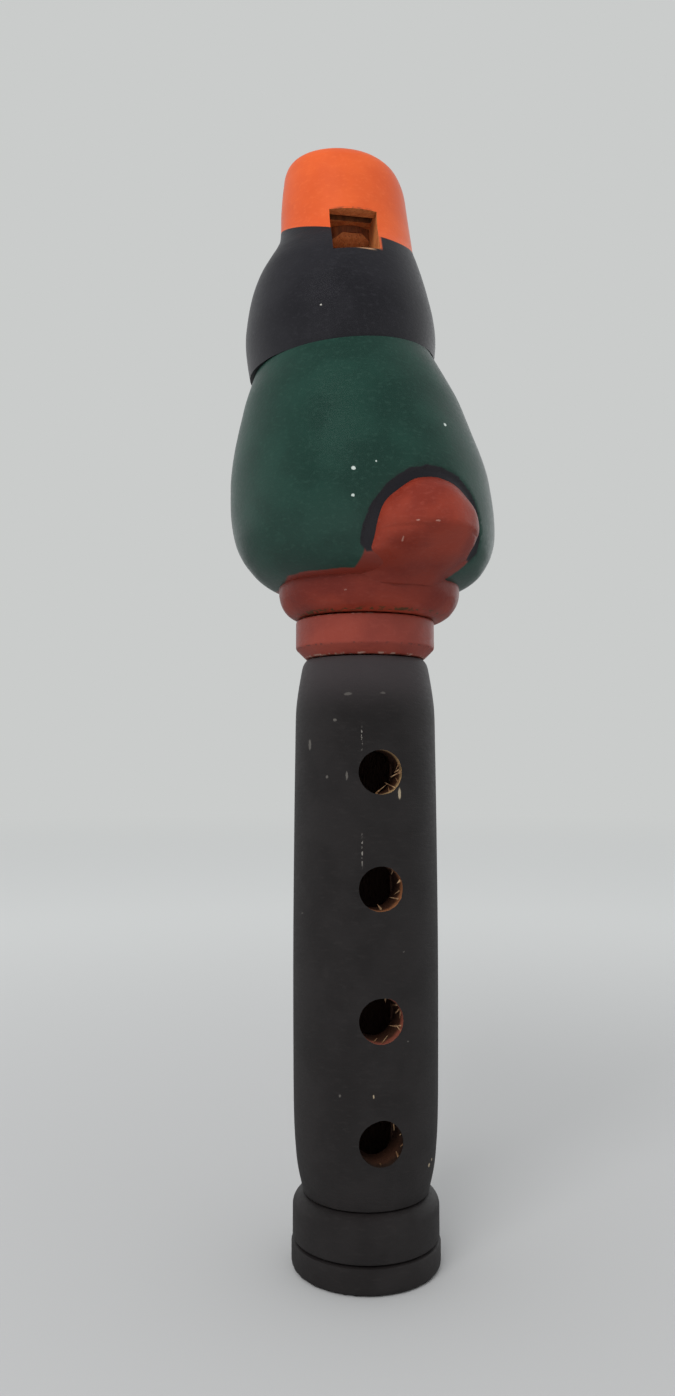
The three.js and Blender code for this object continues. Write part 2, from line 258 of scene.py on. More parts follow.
class Paint:
    """Brushed craft paint on sanded wood: uneven in depth over 5 to 10 mm, with brush lines about
    0.5 mm apart, a soft low sheen and a few stray dots of other paint."""
    CLOUDS, BRUSH_LINES, WOOD_GRAIN, DOTS_APART, DOTS_KEPT, DOT_WIDTH = 8.0, .5, .2, 5.0, .02, .09

    def __init__(self, name, colour, deeper, paler, roughness, streaks, bump):
        self.finish, self.tree, self.skin, self.place = material(name, roughness, IOR=1.5)
        tree = self.tree
        self.x, self.y, self.z = add(tree, "ShaderNodeSeparateXYZ", Vector=self.place).outputs
        cloud = grain(tree, self.place, self.CLOUDS, 3.0)
        self.lines = grain(tree, self.place, self.BRUSH_LINES, 3.0, streaks)
        self.shade = layered(tree, linear(deeper), (where(tree, (cloud, .36, .64)), linear(colour)),
                             (where(tree, (self.lines, .5, .75), .35), linear(paler)))
        self.over("#B9B6AE", *self.stray_dots())
        self.height = add(tree, "ShaderNodeMath", grain(tree, self.place, self.WOOD_GRAIN), .4,
                          self.lines, operation="MULTIPLY_ADD").outputs[0]
        self.gloss, self.bump = roughness, bump

    def over(self, code, *shares):
        """Lays another colour over the paint, where all the shares hold."""
        self.shade = layered(self.tree, self.shade, (where(self.tree, *shares), linear(code)))

    def stray_dots(self):
        """Dots of other paint: a few of the cells of one size, each with its own width."""
        tree = self.tree
        cells = add(tree, "ShaderNodeTexVoronoi", Vector=self.place, Scale=1 / self.DOTS_APART)
        chosen = add(tree, "ShaderNodeSeparateColor", Color=cells.outputs["Color"]).outputs
        width = add(tree, "ShaderNodeMath", chosen[1], self.DOT_WIDTH, operation="MULTIPLY")
        dot = add(tree, "ShaderNodeMath", cells.outputs["Distance"], width.outputs[0],
                  operation="LESS_THAN")
        kept = add(tree, "ShaderNodeMath", chosen[0], self.DOTS_KEPT, operation="LESS_THAN")
        return dot.outputs[0], kept.outputs[0]

    def marks(self, spots):
        """Small ragged marks on the skin: each spot is its middle and its half sizes, in mm."""
        tree = self.tree
        rough = add(tree, "ShaderNodeTexNoise", Vector=self.place, Scale=2.5, Detail=2.0)
        place = add(tree, "ShaderNodeVectorMath", rough.outputs["Color"], (.3, .3, .3), self.place,
                    operation="MULTIPLY_ADD")
        place = add(tree, "ShaderNodeVectorMath", place.outputs[0], (.15, .15, .15),
                    operation="SUBTRACT")
        found = 0.0
        for middle, half in spots:
            off = add(tree, "ShaderNodeVectorMath", place.outputs[0], middle, operation="SUBTRACT")
            near = add(tree, "ShaderNodeVectorMath", off.outputs[0], half, operation="DIVIDE")
            far = add(tree, "ShaderNodeVectorMath", near.outputs[0], operation="LENGTH")
            spot = where(tree, (far.outputs["Value"], 1.15, .7))
            found = add(tree, "ShaderNodeMath", spot, found, operation="MAXIMUM").outputs[0]
        return found

    def band(self, value, middle, half):
        """A soft line at a height or a distance, as wide as half on either side of its middle."""
        return where(self.tree, (away(self.tree, value, middle), half, half * .3))

    def patches(self, size, low, high):
        """Patches of about size millimetres, which leave a worn line only here and there."""
        return where(self.tree, (grain(self.tree, self.place, size, 3.0), low, high))

    def front(self):
        """The half towards -Y, where the finger holes and the window are."""
        return add(self.tree, "ShaderNodeMath", self.y, 0.0, operation="LESS_THAN").outputs[0]

    def done(self):
        """Links the colour, the sheen and the brush lines' relief to the surface."""
        tree = self.tree
        tree.links.new(self.shade, self.skin.inputs["Base Color"])
        dull = add(tree, "ShaderNodeMath", self.lines, .2, self.gloss - .1,
                   operation="MULTIPLY_ADD")
        tree.links.new(dull.outputs[0], self.skin.inputs["Roughness"])
        raised = add(tree, "ShaderNodeBump", Strength=self.bump, Distance=.00012,
                     Height=self.height)
        tree.links.new(raised.outputs[0], self.skin.inputs["Normal"])
        return self.finish


def raw_wood_finish(name, pale, dark, rims=()):
    """Raw drilled hardwood: red-brown, dull, its pores and fibres running along the grain. Each
    rim is a hole's height in mm and its colour there, and the holes are painted darker inwards
    as painted shade."""
    made, tree, skin, place = material(name, .8, IOR=1.5)
    fibre_width, pore_width = .7, .2
    rim_reach, hole_reach, painted_shade_inwards = (7.0, 5.0), (12.0, 9.0), (12.9, 11.2)
    fibres = grain(tree, place, fibre_width, 4.0, (1, 1, .12))
    pores = grain(tree, place, pore_width, 2.0, (1, 1, .2))
    shade = layered(tree, linear(dark), (where(tree, (fibres, .38, .66)), linear(pale)))
    if rims:
        rise = add(tree, "ShaderNodeSeparateXYZ", Vector=place).outputs["Z"]
        level = add(tree, "ShaderNodeVectorMath", place, (1, 1, 0), operation="MULTIPLY").outputs[0]
        depth = add(tree, "ShaderNodeVectorMath", level, operation="LENGTH").outputs["Value"]
        depth = add(tree, "ShaderNodeMath", grain(tree, place, 1.5), 2.0, depth,
                    operation="MULTIPLY_ADD").outputs[0]
    # Each hole: its rim tone near its height, then painted shade, darker deeper in.
    for height, code in rims:
        off = away(tree, rise, height)
        shade = layered(
            tree, shade, (where(tree, (off, *rim_reach), .95), linear(code)),
            (where(tree, (off, *hole_reach), (depth, *painted_shade_inwards)), linear("#452B1E")))
    shade = layered(tree, shade, (where(tree, (pores, .58, .7), .6), linear("#32180D")))
    tree.links.new(shade, skin.inputs["Base Color"])
    raised = add(tree, "ShaderNodeBump", Strength=.8, Distance=.0002, Height=fibres)
    tree.links.new(raised.outputs[0], skin.inputs["Normal"])
    return made


# Matt black craft paint: dry looking, with fine rings from the lathe, grey scuffs, chips down to
# the wood, its top painted lighter as painted light from above, and two dotted scratches in line
# with the left edge of the upper holes.
tube_paint = Paint("matt_black_paint_on_turned_wood", "#252121", "#1F1B1B", "#302C2B", .6,
                   (.3, .3, 1.0), .5)
scuffs = [
    ((-5.35, -10.97, 98.46), (.8, .6, .28)), ((.47, -12.16, 98.63), (.45, .5, .2)),
    ((-7.42, -10.07, 94.05), (.3, .5, .25)), ((-11.05, -5.96, 89.91), (.25, .5, 1.0)),
    ((-8.6, -9.1, 84.4), (.2, .5, .25)), ((-5.6, -11.2, 84.6), (.2, .5, .8)),
    ((-6.7, -10.78, 31.8), (.18, .4, .25)),
    ((-3.1, -11.8, 38.6), (.2, .5, .35)), ((4.6, -11.6, 40.4), (.2, .5, .2)),
    ((-11.9, -4.2, 61.0), (.25, .5, .25)), ((3.9, -11.9, 55.2), (.25, .5, .2)),
]
bare_chips = [((3.3, -12.3, 81.6), (.28, .6, 1.0)), ((-1.4, -12.5, 31.9), (.17, .6, .3)),
              ((9.26, -7.84, 18.6), (.25, .5, .35)), ((9.9, -6.9, 19.2), (.18, .5, .3))]
SCRATCH_SIDE, SCRATCH_HALF, SCRATCHES = -3.2, .16, ((90.6, 2.9), (72.3, 3.6))
PAINTED_LIGHT_FROM, PAINTED_LIGHT_WHOLE = TUBE_TOP - 11, TUBE_TOP - 2
tube_paint.over("#8B867E", tube_paint.marks(scuffs), .34)
tube_paint.over("#A3937A", tube_paint.marks(bare_chips))
for height, half in SCRATCHES:
    tube_paint.over("#86817A", tube_paint.band(tube_paint.x, SCRATCH_SIDE, SCRATCH_HALF),
                    tube_paint.band(tube_paint.z, height, half), tube_paint.front(),
                    tube_paint.patches(.45, .5, .58))
# Painted light: the tube's top is painted lighter, as if lit from above.
tube_paint.over("#433C3E", (tube_paint.z, PAINTED_LIGHT_FROM, PAINTED_LIGHT_WHOLE), .7)
tube_black = tube_paint.done()

# Raw hardwood inside the holes and the bore: each rim has the tone that its fibres have there,
# and the holes are painted darker inwards as painted shade.
raw_wood = raw_wood_finish("raw_drilled_hardwood", "#80502F", "#54301D",
                           list(zip(HOLE_HEIGHTS, RIM_TONES)))

flank = [(share * TUBE_RADIUS, TUBE_FOOT + along * TUBE_LENGTH)
         for along, share in flowing(TUBE_FLANK, 110)]
tenon_edge = rounded((TENON_RADIUS, TENON_TOP), (TENON_RADIUS, TUBE_TOP), (BORE, TENON_TOP),
                     TENON_EDGE)
tube_outline = [
    (BORE, SPIGOT_FOOT), (SPIGOT_RADIUS, SPIGOT_FOOT), (SPIGOT_RADIUS, TUBE_FOOT), *flank,
    (TENON_RADIUS, TUBE_TOP), *tenon_edge, (BORE, TENON_TOP),
]
flute_tube = dressed(turned("flute_tube", tube_outline), tube_black, raw_wood)
cut(flute_tube, [drill(height, TORN_SEED * i) for i, height in enumerate(HOLE_HEIGHTS)])
for face in flute_tube.data.polygons:
    at = face.center / MM
    in_bore = math.hypot(at.x, at.y) < BORE + .2
    if in_bore or at.z > TUBE_TOP + .05 or at.z < TUBE_FOOT - .05:
        face.material_index = 1
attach(flute_tube, "flute")
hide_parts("flute_tube")

# Torn fibres. Slivers of the tube's own wood that the drill left standing round the holes' rims, a
# few at the tidier holes and longer ones where the grain tore out.
FIBRE_COUNTS, FIBRE_SEEDS = (6, 9, 6, 8), (5, 14, 29, 37)
FIBRE_LENGTHS = (.001, .0021, .0012, .0022)
SLIVER_LENGTH, SLIVER_RADIUS, SLIVER_TIP = .001, .00015, .00001


def fibre_tree():
    """Slivers on an arc round the -Y axis, leaning in over the hole, as one Geometry Nodes tree."""
    tree = bpy.data.node_groups.new("torn_fibres", "GeometryNodeTree")
    tree.interface.new_socket("Geometry", in_out="OUTPUT", socket_type="NodeSocketGeometry")
    for name, kind, value in (("Count", "Int", 9), ("Radius", "Float", .0037),
                              ("Length", "Float", .001), ("Height", "Float", .08),
                              ("Seed", "Int", 1), ("Wood", "Material", None)):
        made = tree.interface.new_socket(name, in_out="INPUT", socket_type="NodeSocket" + kind)
        if value is not None:
            made.default_value = value
    given = add(tree, "NodeGroupInput").outputs

    def chance(low, high, step):
        """Another number for each sliver, between low and high."""
        seed = add(tree, "ShaderNodeMath", given["Seed"], step, operation="ADD").outputs[0]
        drawn = add(tree, "FunctionNodeRandomValue", data_type="FLOAT", _2=low, _3=high, Seed=seed)
        return drawn.outputs[1]

    angle = chance(-1.9, 1.3, 11)
    reach = add(tree, "ShaderNodeMath", given["Radius"], chance(.96, 1.04, 23),
                operation="MULTIPLY").outputs[0]
    aside = add(tree, "ShaderNodeMath", angle, operation="COSINE").outputs[0]
    aside = add(tree, "ShaderNodeMath", aside, reach, operation="MULTIPLY").outputs[0]
    up = add(tree, "ShaderNodeMath", angle, operation="SINE").outputs[0]
    up = add(tree, "ShaderNodeMath", up, reach, given["Height"],
             operation="MULTIPLY_ADD").outputs[0]
    spot = add(tree, "ShaderNodeCombineXYZ", aside, chance(-.0123, -.0106, 31), up)
    points = add(tree, "GeometryNodePoints", Count=given["Count"], Position=spot.outputs[0])
    sliver = add(tree, "GeometryNodeMeshCone", Vertices=5, Radius_Top=SLIVER_TIP,
                 Radius_Bottom=SLIVER_RADIUS, Depth=SLIVER_LENGTH)
    sideways = chance(-.9, .9, 41)
    inwards = add(tree, "ShaderNodeMath", chance(-2.5, -.6, 43), angle, operation="SUBTRACT")
    lean = add(tree, "ShaderNodeCombineXYZ", sideways, inwards.outputs[0], chance(-.4, .4, 47))
    turn = add(tree, "FunctionNodeEulerToRotation", Euler=lean.outputs[0])
    broad, thick = chance(.6, 1.5, 53), chance(.5, 1.2, 59)
    longer = add(tree, "ShaderNodeMath", given["Length"], SLIVER_LENGTH, operation="DIVIDE")
    longer = add(tree, "ShaderNodeMath", longer.outputs[0], chance(.35, 1.3, 61),
                 operation="MULTIPLY")
    size = add(tree, "ShaderNodeCombineXYZ", broad, thick, longer.outputs[0])
    stood = add(tree, "GeometryNodeInstanceOnPoints", Points=points.outputs[0],
                Instance=sliver.outputs["Mesh"], Rotation=turn.outputs[0], Scale=size.outputs[0])
    real = add(tree, "GeometryNodeRealizeInstances", Geometry=stood.outputs[0])
    named = add(tree, "GeometryNodeSetMaterial", Geometry=real.outputs[0], Material=given["Wood"])
    add(tree, "NodeGroupOutput", Geometry=named.outputs[0])
    return tree


def grown(name, tree, **values):
    """Runs a Geometry Nodes tree with its inputs set and keeps the result as a plain mesh."""
    made = bpy.data.objects.new(name, bpy.data.meshes.new(name))
    bpy.context.scene.collection.objects.link(made)
    nodes = made.modifiers.new(name, "NODES")
    nodes.node_group = tree
    for socket in tree.interface.items_tree:
        if socket.in_out == "INPUT" and socket.name in values:
            nodes[socket.identifier] = values[socket.name]
    plain = bpy.data.meshes.new_from_object(
        made.evaluated_get(bpy.context.evaluated_depsgraph_get()))
    bpy.data.objects.remove(made)
    return plain


# The same hardwood, freshly torn: paler and more yellow than what the drill burnished.
torn_wood = raw_wood_finish("torn_wood_fibres", "#A98B68", "#6E4E33")
fibres = bmesh.new()
fibre_maker = fibre_tree()
for height, count, length, seed in zip(HOLE_HEIGHTS, FIBRE_COUNTS, FIBRE_LENGTHS, FIBRE_SEEDS):
    fibres.from_mesh(grown("fibres", fibre_maker, Count=count, Radius=HOLE_RADIUS * MM,
                           Length=length, Height=height * MM, Seed=seed, Wood=torn_wood))
torn_fibres = bpy.data.objects.new("torn_fibres", bpy.data.meshes.new("torn_fibres"))
bpy.context.scene.collection.objects.link(torn_fibres)
fibres.to_mesh(torn_fibres.data)
fibres.free()
dressed(torn_fibres, torn_wood)
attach(torn_fibres, "flute")

# Foot ring. A turned ring glued on the tube's spigot, with a rounded shoulder above and a dark
# groove below, in the same matt black.
FOOT_RADIUS, FOOT_BORE, FOOT_LOW, SHOULDER_FOOT, SHOULDER = 12.8, 9.9, 4.9, 10.1, 2.4
foot_rows = [(FOOT_BORE, FOOT_LOW), (12.35, FOOT_LOW), (12.65, 5.0), (FOOT_RADIUS, 5.3),
             (FOOT_RADIUS, SHOULDER_FOOT)]
for step in range(1, 15):
    angle = math.radians(90 * step / 14)
    foot_rows.append((FOOT_RADIUS - SHOULDER * (1 - math.cos(angle)),
                      SHOULDER_FOOT + SHOULDER * math.sin(angle)))
foot_rows.append((FOOT_BORE, SHOULDER_FOOT + SHOULDER))
foot_ring = dressed(turned("foot_ring", foot_rows), tube_black)
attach(foot_ring, "flute")
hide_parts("foot_ring")

# End ring. The slightly wider foot that the whistle stands on. It was parted off the lathe with a
# saw, which left its lower edge a little ragged and its end face raw.
END_RADIUS, END_BORE, END_SEAT, END_TOP = 13, 6, 2.1, 4.6
RAGGED_LOW, RAGGED_HIGH, RAGGED_OUT = .05, .9, 11
end_rows = [(END_BORE, 0), (11.6, 0), (12.1, .02), (12.45, .1), (12.75, .3), (12.93, .65),
            (END_RADIUS, 1.1), (END_RADIUS, 4.1), (12.8, 4.45), (12.4, END_TOP),
            (FOOT_BORE, END_TOP), (FOOT_BORE, END_SEAT), (END_BORE, END_SEAT)]
end_ring = dressed(turned("end_ring", end_rows, 240), tube_black, raw_wood)
for point in end_ring.data.vertices:
    at = point.co / MM
    if RAGGED_LOW < at.z < RAGGED_HIGH and math.hypot(at.x, at.y) > RAGGED_OUT:
        bite = noise.noise(at * 1.3) * .16 + noise.noise(at * 3.1) * .08 - .08
        point.co.xy *= 1 + bite / END_RADIUS * (1 - at.z)
for face in end_ring.data.polygons:
    face.material_index = int(face.center.z < .02 * MM)
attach(end_ring, "flute")
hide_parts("end_ring")

# Lower ring. A brick-red turned ring glued on the tube's shoulder, chamfered towards the tube, its
# satin paint worn through on both edges.
RING_TOP, RING_FOOT, RING_RADIUS, RING_BORE = 112.3, 105.5, 12.5, 8
CHAMFER_TOP, CHAMFER_RADIUS, OUTER_SKIN, CALM_BY_TOP = 107.3, 10.7, 10, .8
WORN_EDGES = ((RING_TOP, .2, "#B08A78"), (RING_FOOT + .1, .26, "#B79B8C"),
              (RING_FOOT + 1.75, .2, "#4C201A"), (112.9, .35, "#4E3A22"))

# Brick-red satin paint: deep and even, painted darker over the collar and the knob's foot as
# painted shade under the body, paler on the ring, with painted highlights along the knob's ridge,
# a few chips and dots, and worn to wood or dirt along the rings' edges.
red_paint = Paint("brick_red_satin_paint", "#933725", "#7F2B1D", "#9D4637", .44, (.5, .5, 1.0), .4)
# The three short pale streaks along the knob's ridge are painted highlights; the others are chips
# and dots of paint.
red_chips_and_highlights = [((1.03, -24.2, 122.5), (.16, .8, .5)), ((2.89, -26.6, 125.0), (.35, .9, .14)),
             ((6.02, -27.2, 125.0), (.4, .9, .14)), ((-4.6, -11.6, 112.3), (.4, .5, .22)),
             ((-7.4, -14.9, 118.0), (.35, .6, .12)), ((-6.4, -14.2, 115.7), (.2, .6, .12))]
for height, half, code in WORN_EDGES:
    red_paint.over(code, red_paint.band(red_paint.z, height, half), red_paint.patches(.9, .5, .62))
red_paint.over("#C09284", red_paint.marks(red_chips_and_highlights), .6)
# Painted shade: the collar and the knob's foot, under the body's overhang, are painted darker.
red_paint.over("#5A1B16", red_paint.band(red_paint.z, 117.4, 5.0), .42)
red_paint.over("#8E4A42", (red_paint.z, RING_TOP + .2, RING_TOP - .1), .35)
red_paint.skin.inputs["Specular IOR Level"].default_value = .3
brick_red = red_paint.done()

chamfer_foot, chamfer_edge = (CHAMFER_RADIUS, RING_FOOT), (RING_RADIUS, CHAMFER_TOP)
top_edge = (RING_RADIUS, RING_TOP)
lower_rows = [(RING_BORE, RING_FOOT),
              *rounded(chamfer_foot, (RING_BORE, RING_FOOT), chamfer_edge, .3),
              *rounded(chamfer_edge, chamfer_foot, top_edge, .35),
              *rounded(top_edge, chamfer_edge, (RING_BORE, RING_TOP), .4),
              (RING_BORE, RING_TOP)]
lower_ring = dressed(turned("lower_ring", lower_rows), brick_red)
uneven(lower_ring, .08, 2.5, 3, lambda at: (
    (math.hypot(at.x, at.y) > OUTER_SKIN) * max(0, min(1, (RING_TOP - at.z) / CALM_BY_TOP))))
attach(lower_ring, "flute")
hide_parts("lower_ring")

# Tenon cork. A thin sleeve of sheet cork glued round the tenon, which grips the bird's socket and
# lets the bird turn and pull off.
CORK_FOOT, CORK_TOP, CORK_RADIUS, CORK_BORE, CORK_EDGE, CORK_SKIN = 115.46, 123.44, 8.8, 8, .3, 8.4
low_edge, high_edge = (CORK_RADIUS, CORK_FOOT), (CORK_RADIUS, CORK_TOP)
cork_rows = [(CORK_BORE, CORK_FOOT),
             *rounded(low_edge, (CORK_BORE, CORK_FOOT), high_edge, CORK_EDGE),
             *[(CORK_RADIUS, 116 + i * .35) for i in range(20)],
             *rounded(high_edge, low_edge, (CORK_BORE, CORK_TOP), CORK_EDGE),
             (CORK_BORE, CORK_TOP)]
tenon_cork = turned("tenon_cork", cork_rows)
uneven(tenon_cork, -.12, .8, 5, lambda at: math.hypot(at.x, at.y) > CORK_SKIN)

# Sheet cork: dull tan granules of about 1 mm, each of its own tone, with dark bark between them.
sheet_cork, tree, cork_skin, cork_place = material("sheet_cork", .9, IOR=1.4)
granules = add(tree, "ShaderNodeTexVoronoi", Vector=cork_place, Scale=.9).outputs
tone = add(tree, "ShaderNodeSeparateColor", Color=granules["Color"]).outputs[0]
bark = where(tree, (grain(tree, cork_place, .9, 3.0), .6, .68))
cork_shade = layered(tree, linear("#A67C4C"), (tone, linear("#C9A271")), (bark, linear("#5E3A1E")))
tree.links.new(cork_shade, cork_skin.inputs["Base Color"])
crumbly = add(tree, "ShaderNodeBump", Strength=.8, Distance=.0002, Height=granules["Distance"])
tree.links.new(crumbly.outputs[0], cork_skin.inputs["Normal"])
dressed(tenon_cork, sheet_cork)
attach(tenon_cork, "cork")
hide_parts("tenon_cork")

# Perch collar. A rounded brick-red bead under the bird, bored for the tenon. It sits a little
# aslant, so its gap over the lower ring shows on the left and closes on the right.
JOINT = 112.6
COLLAR_RADIUS, COLLAR_HEIGHT, COLLAR_SHIFT, COLLAR_TOP = 16.4, 6.9, .75, 5.6
COLLAR_SEAT, SOCKET_RADIUS, SOCKET_DEPTH, SOCKET_EDGE = 13, 9.1, 14.0, .3
CALM_BY_JOINT, LEVEL_BY_JOINT = 1.2, 1.5
UNDERSIDE_GAP, UNDERSIDE_SLANT, SLANT_REACH = .05, .1, 9
COLLAR_BEAD = [(0, .79), (.05, .835), (.15, .9), (.3, .95), (.5, .985), (.75, 1), (.95, .985),
               (1.1, .93)]
bead = [ring(COLLAR_SHIFT, 0, JOINT + h * COLLAR_HEIGHT, r * COLLAR_RADIUS, 180)
        for h, r in flowing(COLLAR_BEAD, 44)]
inside = [ring(0, 0, JOINT + z, SOCKET_RADIUS, 180) for z in (COLLAR_TOP, .4, .1)]
perch_collar = skinned("perch_collar", [
    *bead, ring(COLLAR_SHIFT, 0, JOINT + COLLAR_TOP, COLLAR_SEAT, 180), *inside,
    ring(0, 0, JOINT, SOCKET_RADIUS + SOCKET_EDGE, 180)], hollow=True)
dressed(perch_collar, brick_red)
uneven(perch_collar, .12, 4, 7, lambda at: (
    (math.hypot(at.x, at.y) > OUTER_SKIN) * max(0, min(1, (at.z - JOINT) / CALM_BY_JOINT))))
for point in perch_collar.data.vertices:
    at = point.co / MM
    near_joint = max(0, 1 - (at.z - JOINT) / LEVEL_BY_JOINT)
    slant = UNDERSIDE_SLANT * max(-1, min(1, at.x / SLANT_REACH))
    point.co.z -= near_joint * (UNDERSIDE_GAP + slant) * MM
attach(perch_collar, "bird")
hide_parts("perch_collar")

# Bird body. A carved egg in dark green satin paint, leaning towards -X, with a deeper breast. The
# tail's place is marked by a shallow carved line painted black.
BODY_RADIUS, BODY_HEIGHT, BODY_BASE = 23.85, 40.8, 5.4
BODY_SHIFT, BODY_LEAN, BREAST = .8, math.tan(math.radians(5.4)), 1.13
BODY_EGG = [
    (0, .62), (.02, .74), (.055, .835), (.1, .9), (.15, .949), (.22, .985), (.33, 1), (.45, .985),
    (.525, .963), (.6, .933), (.67, .9), (.74, .865), (.82, .822), (.89, .772), (.96, .718),
    (1.08, .62),
]
NECK_HEIGHT, NECK_TILT, NECK_GAP = JOINT + BODY_BASE + BODY_HEIGHT, 6.0, Vector((0, 0, .05))
HEAD_SHIFT, HEAD_DEEP = BODY_SHIFT - BODY_LEAN * BODY_HEIGHT - 1.15, 1.2
TAIL_BEARING = math.radians(17.5)
TAIL_WAY = Vector((math.sin(TAIL_BEARING), -math.cos(TAIL_BEARING), 0))
TAIL_SIDE = Vector((math.cos(TAIL_BEARING), math.sin(TAIL_BEARING), 0))
LINE_SIDE, LINE_MIDDLE, LINE_RADIUS = -.15, JOINT + 11.35, 11.35
LINE_FOOT, LINE_WAIST, LINE_SPREAD = JOINT + 8.6, 9.9, .9
LINE_DEPTH, LINE_EDGE, ON_BACK = .45, .12, 5.0
RED_RUN_UP, RED_SLANT, RED_SIDE, RED_BACK = "#7A2B1E", 9.8 - LINE_FOOT, (10.5, 10.1), (4.0, 6.0)
RED_TOP, RED_OUT = (JOINT + 6.5, JOINT + 6.3), (16.3, 15.7)
BODY_BORE, BORE_END, OVERRUN = (JOINT + 12, JOINT + 90), 40.3, 2


def trimmed(made, point, way):
    """Cuts away what lies beyond a plane through a point and closes the cut."""
    mesh = bmesh.new()
    mesh.from_mesh(made.data)
    bmesh.ops.bisect_plane(
        mesh, geom=mesh.verts[:] + mesh.edges[:] + mesh.faces[:], dist=1e-7,
        plane_co=Vector(point) * MM, plane_no=way, clear_outer=True)
    bmesh.ops.edgeloop_fill(mesh, edges=[e for e in mesh.edges if e.is_boundary])
    bmesh.ops.recalc_face_normals(mesh, faces=mesh.faces)
    mesh.to_mesh(made.data)
    mesh.free()
    return smoothed(made)


def tilted(tilt_x, tilt_y):
    """The upward direction of a plane that falls by tilt_x towards -X and rises towards +Y."""
    turn = (Matrix.Rotation(math.radians(-tilt_x), 3, "Y")
            @ Matrix.Rotation(math.radians(tilt_y), 3, "X"))
    return turn @ Vector((0, 0, 1))


def bore_tool(radius, low, high, around=96):
    """A rod along the bird's own bore, which leans from the socket to the beak's middle."""
    start = Vector((0, 0, JOINT + SOCKET_DEPTH))
    way = Vector((HEAD_SHIFT, HEAD_DEEP, NECK_HEIGHT + BORE_END)) - start
    ends = [(start + way * ((z - start.z) / way.z)) for z in (low, high)]
    return skinned("bore", [ring(p.x, p.y, p.z, radius, around) for p in ends])


# Dark green satin paint: deep and cool, with a soft sheen on the shoulders, a few white specks, the
# black line inked round the tail, and the collar's red run up over its lower edge by the tail.
green_paint = Paint("dark_green_satin_paint", "#1C4036", "#183930", "#2E5347", .4, (.6, .6, 1), .25)
tree = green_paint.tree
side = add(tree, "ShaderNodeVectorMath", green_paint.place, TAIL_SIDE,
           operation="DOT_PRODUCT").outputs["Value"]
reach = add(tree, "ShaderNodeVectorMath", green_paint.place, TAIL_WAY,
            operation="DOT_PRODUCT").outputs["Value"]
wander = add(tree, "ShaderNodeMath", grain(tree, green_paint.place, 3.0, 3.0), 1.1, -.55,
             operation="MULTIPLY_ADD").outputs[0]
facing = add(tree, "ShaderNodeCombineXYZ", side, green_paint.z).outputs[0]
from_middle = add(tree, "ShaderNodeVectorMath", facing, (LINE_SIDE, LINE_MIDDLE, 0),
                  operation="DISTANCE").outputs["Value"]
from_middle = add(tree, "ShaderNodeMath", from_middle, wander, operation="ADD").outputs[0]
on_back = add(tree, "ShaderNodeMath", reach, ON_BACK, operation="GREATER_THAN").outputs[0]
past_waist = add(tree, "ShaderNodeMath", away(tree, side, 0.0), LINE_WAIST,
                 operation="SUBTRACT").outputs[0]
past_waist = add(tree, "ShaderNodeMath", past_waist, 0.0, operation="MAXIMUM").outputs[0]
foot_line = add(tree, "ShaderNodeMath", green_paint.z, wander, operation="ADD").outputs[0]
foot_line = add(tree, "ShaderNodeMath", past_waist, -LINE_SPREAD, foot_line,
                operation="MULTIPLY_ADD").outputs[0]
green_paint.over("#201E24", (from_middle, LINE_RADIUS + LINE_EDGE, LINE_RADIUS - LINE_EDGE),
                 on_back, (foot_line, LINE_FOOT - .3, LINE_FOOT + .1))
slant = add(tree, "ShaderNodeMath", side, green_paint.z, operation="SUBTRACT").outputs[0]
slant = add(tree, "ShaderNodeMath", slant, RED_SLANT, operation="SUBTRACT").outputs[0]
slant = add(tree, "ShaderNodeMath", slant, wander, operation="ADD").outputs[0]
left_of_slant = where(tree, (slant, .25, -.25))
green_paint.over(RED_RUN_UP, (away(tree, side, 0.0), *RED_SIDE), (reach, *RED_BACK),
                 (foot_line, LINE_FOOT + .2, LINE_FOOT - .2), left_of_slant)
low_paint = add(tree, "ShaderNodeMath", wander, .5, green_paint.z,
                operation="MULTIPLY_ADD").outputs[0]
green_paint.over(RED_RUN_UP, (low_paint, *RED_TOP),
                 (away(tree, green_paint.x, COLLAR_SHIFT), *RED_OUT), left_of_slant)
spatter = [((-6.78, -22.83, 133.98), (.34, .9, .34)), ((-6.85, -22.76, 129.58), (.25, .8, .25)),
           ((9.79, -18.71, 143.5), (.3, .8, .3)), ((-3.2, -23.43, 135.15), (.15, .8, .15)),
           ((-14.5, -18.4, 131.0), (.14, .6, .14)), ((18.6, -10.6, 135.4), (.2, .6, .2))]
green_paint.over("#C8D2CC", green_paint.marks(spatter))
body_green = green_paint.done()

body_rings = [
    ring(BODY_SHIFT - BODY_LEAN * h * BODY_HEIGHT, 0, JOINT + BODY_BASE + h * BODY_HEIGHT,
         r * BODY_RADIUS, 240, BREAST)
    for h, r in flowing(BODY_EGG, 140)]
bird_body = dressed(skinned("bird_body", body_rings), body_green, raw_wood)
uneven(bird_body, .16, 9, 11)
for point in bird_body.data.vertices:
    at = point.co / MM
    if at.dot(TAIL_WAY) > ON_BACK:
        off = math.hypot(at.dot(TAIL_SIDE) - LINE_SIDE, at.z - LINE_MIDDLE)
        rise = at.z - LINE_FOOT - LINE_SPREAD * max(0, abs(at.dot(TAIL_SIDE)) - LINE_WAIST)
        carved = max(0, min(1, (LINE_RADIUS + .1 - off) / .5)) * max(0, min(1, rise + .5))
        point.co -= TAIL_WAY * (LINE_DEPTH * carved * MM)
neck = Vector((HEAD_SHIFT, HEAD_DEEP, NECK_HEIGHT))
trimmed(bird_body, neck - NECK_GAP, tilted(NECK_TILT, 0))
socket_tool = skinned("socket", [
    ring(0, 0, JOINT + z, SOCKET_RADIUS, 96) for z in (-OVERRUN, SOCKET_DEPTH)])
cut(bird_body, [socket_tool, bore_tool(BORE, *BODY_BORE)])
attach(bird_body, "bird")
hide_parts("bird_body")

